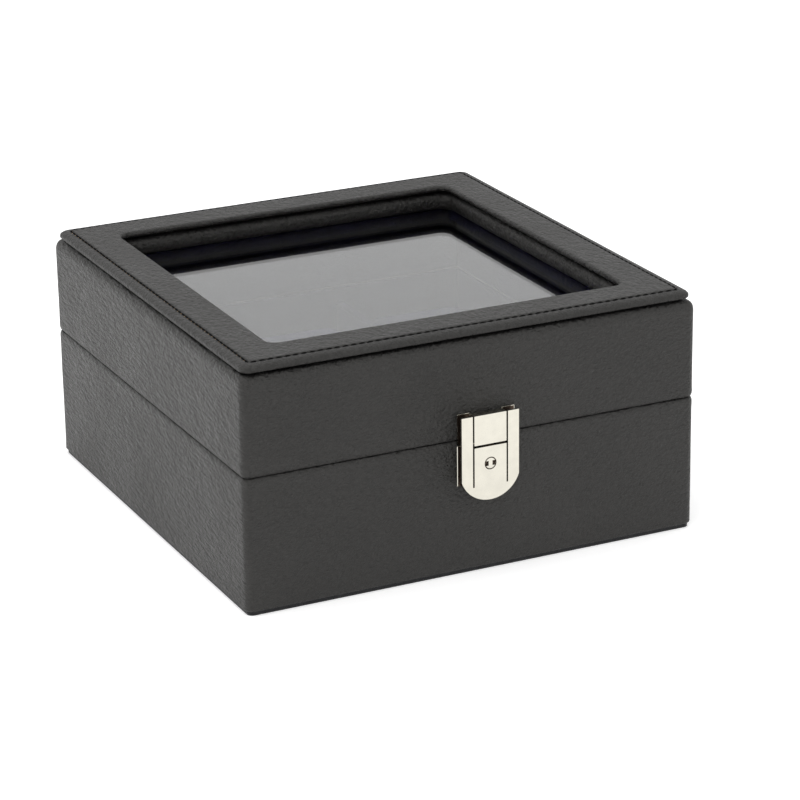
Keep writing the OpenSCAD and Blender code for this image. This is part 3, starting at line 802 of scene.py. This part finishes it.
def evened(points, spacing):
    """A closed loop resampled to even spacing and lightly smoothed."""
    ring = np.array([tuple(p) for p in points])
    closed = np.vstack([ring, ring[:1]])
    along = np.concatenate([[0], np.cumsum(np.linalg.norm(np.diff(closed, axis=0), axis=1))])
    count = round(along[-1] / spacing)
    at = np.linspace(0, along[-1], count, endpoint=False)
    even = np.column_stack([np.interp(at, along, closed[:, i]) for i in range(3)])
    for _ in range(4):
        even = (np.roll(even, 1, axis=0) + 2 * even + np.roll(even, -1, axis=0)) / 4
    return [Vector(p) for p in even]


def fit_inside(coords, half):
    """Scales the pillow so that it fills its place without passing it."""
    reach = np.abs(coords).max(axis=0)
    return coords * (np.array([half.x, half.y, half.z]) / reach)


def cushions():
    """Six cushions from one pillow, each turned and dented its own way, with piping at both ends."""
    low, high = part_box(CUSHIONS[0])
    half = (high - low) / 2 - Vector((0.4, 0.4, 0.4)) * MM
    master = pillow(half)
    coords = fit_inside(np.array([v.co for v in master.data.vertices]), half)
    seam_x = half.x - 5.5 * MM
    pinch = np.exp(-((np.abs(coords[:, 0]) - seam_x) / (1.6 * MM)) ** 2)
    shrink = 1 - 0.035 * pinch
    coords[:, 1] *= shrink
    coords[:, 2] *= shrink
    master.data.vertices.foreach_set("co", coords.ravel())
    for number, name in enumerate(CUSHIONS):
        place_low, place_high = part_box(name)
        centre = (place_low + place_high) / 2
        mesh = master.data.copy()
        obj = bpy.data.objects.new(name + "_cover", mesh)
        bpy.context.scene.collection.objects.link(obj)
        turn = -1.0 if number % 2 else 1.0
        shaped = coords * np.array([turn, turn, 1.0])
        for i, p in enumerate(shaped):
            dent = 0.4 * MM * wave(p, 22 * MM, 20 + number) + 0.12 * MM * wave(p, 7 * MM, 40 + number)
            shaped[i] = p * (1 + (dent - 0.45 * MM) / max(np.linalg.norm(p), 10 * MM))
        mesh.vertices.foreach_set("co", shaped.ravel())
        mesh.update()
        for side, label in ((-1, "left"), (1, "right")):
            loop = evened(seam_loops(obj, side * seam_x), 1.3 * MM)
            piping = tube(f"{name}_piping_{label}", loop, 0.55 * MM, 8, cushion_velvet)
            piping.parent = obj
        obj.location = centre
        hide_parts(name)
        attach(obj, name)
    bpy.data.objects.remove(master)


cushions()


# ---- Pieces that keep their CAD shape ----

def finish_cad(names, material, edge=0.0, segments=3):
    """Gives CAD nodes a material, and rounds their edges by that much. One segment is a chamfer."""
    for name in names:
        obj = nodes[name]
        obj.data.materials.clear()
        obj.data.materials.append(material)
        if edge:
            weld = obj.modifiers.new("Weld", "WELD")
            weld.merge_threshold = 0.002 * MM
            bevel = obj.modifiers.new("Bevel", "BEVEL")
            bevel.width = edge
            bevel.segments = segments
            bevel.limit_method = "ANGLE"
            bevel.angle_limit = math.radians(35)
            bevel.harden_normals = False
            bevel.use_clamp_overlap = segments > 1
            bevel.material = 0
            if segments == 1:
                for face in obj.data.polygons:
                    face.use_smooth = False
                continue
            normals = obj.modifiers.new("Normals", "WEIGHTED_NORMAL")
            normals.keep_sharp = False
            normals.weight = 80


def paint_shade_inside(names, is_inside):
    """Gives the painted-shade metal to the faces whose centre and outward direction pass a test: painted
    shade in the lock's recesses.
    """
    for name in names:
        obj = nodes[name]
        obj.data.materials.append(painted_shade_metal)
        turn = obj.matrix_world.to_3x3()
        for face in obj.data.polygons:
            if is_inside(obj.matrix_world @ face.center, turn @ face.normal):
                face.material_index = 1


def behind_front_plate(centre, normal):
    """What lies deeper in the lock than the front plate."""
    return centre.y > plate_low.y + 1.1 * MM


def below_core_face(centre, normal):
    """The walls and floors of the keyholes and of the groove round them."""
    return centre.y > plate_low.y + 0.2 * MM


def faces_the_plate(centre, normal):
    """The outward faces of the back plates, which the front plate covers."""
    return normal.y < -0.9


BOARDS = [n for n in nodes if n.endswith("_board")]
BEADS = [n for n in nodes if n.startswith("glass_bead")]
DIVIDERS = [n for n in nodes if n.startswith("divider")]
finish_cad(BOARDS, fibreboard)
finish_cad(["base_wall_lining", "base_floor_lining", "lid_lining"], lining_velvet, 0.35 * MM)
finish_cad(BEADS, lining_velvet, 0.6 * MM)
finish_cad(DIVIDERS, lining_velvet, 1.1 * MM, 4)
finish_cad(["underside_pad"], felt, 0.3 * MM)
finish_cad(["top_frame_riser"], felt)
finish_cad(["window_glass"], glass)
finish_cad(["lock_slider", "hasp_block"], nickel, 0.16 * MM)
finish_cad(["lock_back_plate", "hasp_plate"], nickel, 0.2 * MM, 1)
finish_cad(["lock_core"], nickel, 0.08 * MM, 2)
# Painted shade: the hook, the rails and the rivets take the dark metal that stands in for the shade
# between the lock's plates
finish_cad(["hasp_hook", "lock_rails"], painted_shade_metal, 0.08 * MM, 2)
finish_cad(["lock_springs"], steel, 0.06 * MM, 2)
finish_cad(["lock_rivets", "hasp_rivets"], painted_shade_metal, 0.2 * MM, 3)
# Painted shade: the faces deeper than the front plate, the keyhole walls and floors, and the covered
# faces of the back plates get the dark metal where shade falls
paint_shade_inside(["lock_slider"], behind_front_plate)
paint_shade_inside(["lock_core"], below_core_face)
paint_shade_inside(["lock_back_plate", "hasp_plate"], faces_the_plate)
finish_cad([n for n in nodes if n.startswith("hinge_") and "leaf" in n], steel, 0.1 * MM, 2)
finish_cad(["hinge_pins", "hinge_base_screws", "hinge_lid_screws"], steel, 0.08 * MM, 2)


# ---- Studio ----

AZIMUTH = math.radians(-25.73)
ELEVATION = math.radians(20.16)
ROLL = math.radians(-0.75)
DISTANCE = 1.357
FOCAL = 143.6
TARGET = Vector((15.8, 0, 37.0)) * MM


def camera():
    """The photograph's viewpoint."""
    data = bpy.data.cameras.new("camera")
    data.lens = FOCAL
    data.sensor_width = 36
    data.clip_start, data.clip_end = 0.05, 50
    back = Vector((math.sin(AZIMUTH) * math.cos(ELEVATION), -math.cos(AZIMUTH) * math.cos(ELEVATION),
                   math.sin(ELEVATION)))
    right = Vector((math.cos(AZIMUTH), math.sin(AZIMUTH), 0))
    up = back.cross(right)
    x_axis = right * math.cos(ROLL) + up * math.sin(ROLL)
    y_axis = up * math.cos(ROLL) - right * math.sin(ROLL)
    turn = Matrix((x_axis, y_axis, back)).transposed().to_4x4()
    obj = bpy.data.objects.new("camera", data)
    obj.matrix_world = Matrix.Translation(TARGET + back * DISTANCE) @ turn
    bpy.context.scene.collection.objects.link(obj)
    bpy.context.scene.camera = obj


FLOOR_GLOW = 0.3


def floor():
    """A plain pale table, lit from below as on a light table."""
    s = Shader("pale_floor")
    cloud = s.noise(0.4, detail=2)
    colour = s.ramp(cloud, 0.3, 0.7, (0.90, 0.90, 0.90), (0.93, 0.93, 0.93))
    s.set(Specular_IOR_Level=0.0, Emission_Color=(1, 1, 1, 1), Emission_Strength=FLOOR_GLOW)
    half = 12.0
    verts = [(-half, -half, 0), (half, -half, 0), (half, half, 0), (-half, half, 0)]
    obj = new_object("table", verts, [(0, 1, 2, 3)], s.done(colour))
    obj.location.z = -0.05 * MM


def area_light(name, place, size, power):
    """A soft rectangular light aimed at the box."""
    data = bpy.data.lights.new(name, "AREA")
    data.shape = "RECTANGLE"
    data.size, data.size_y = size
    data.energy = power
    obj = bpy.data.objects.new(name, data)
    direction = Vector((0, 0, 0.05)) - Vector(place)
    obj.matrix_world = Matrix.Translation(place) @ direction.to_track_quat("-Z", "Y").to_matrix().to_4x4()
    bpy.context.scene.collection.objects.link(obj)


def world():
    """A white studio all round, a little dimmer low down."""
    scene_world = bpy.data.worlds.new("studio")
    bpy.context.scene.world = scene_world
    scene_world.use_nodes = True
    tree = scene_world.node_tree
    background = tree.nodes["Background"]
    coords = tree.nodes.new("ShaderNodeTexCoord")
    split = tree.nodes.new("ShaderNodeSeparateXYZ")
    ramp = tree.nodes.new("ShaderNodeValToRGB")
    tree.links.new(coords.outputs["Generated"], split.inputs[0])
    tree.links.new(split.outputs["Z"], ramp.inputs["Fac"])
    tree.links.new(ramp.outputs["Color"], background.inputs["Color"])
    ends = ramp.color_ramp.elements
    ends[0].position, ends[0].color = 0.0, (0.80, 0.80, 0.80, 1)
    ends[1].position, ends[1].color = 0.25, (1.0, 1.0, 1.0, 1)
    background.inputs["Strength"].default_value = 1.0


camera()
floor()
world()
area_light("overhead", (-0.5, -0.1, 1.6), (1.4, 1.4), 10)
bpy.context.scene.view_settings.view_transform = "Standard"
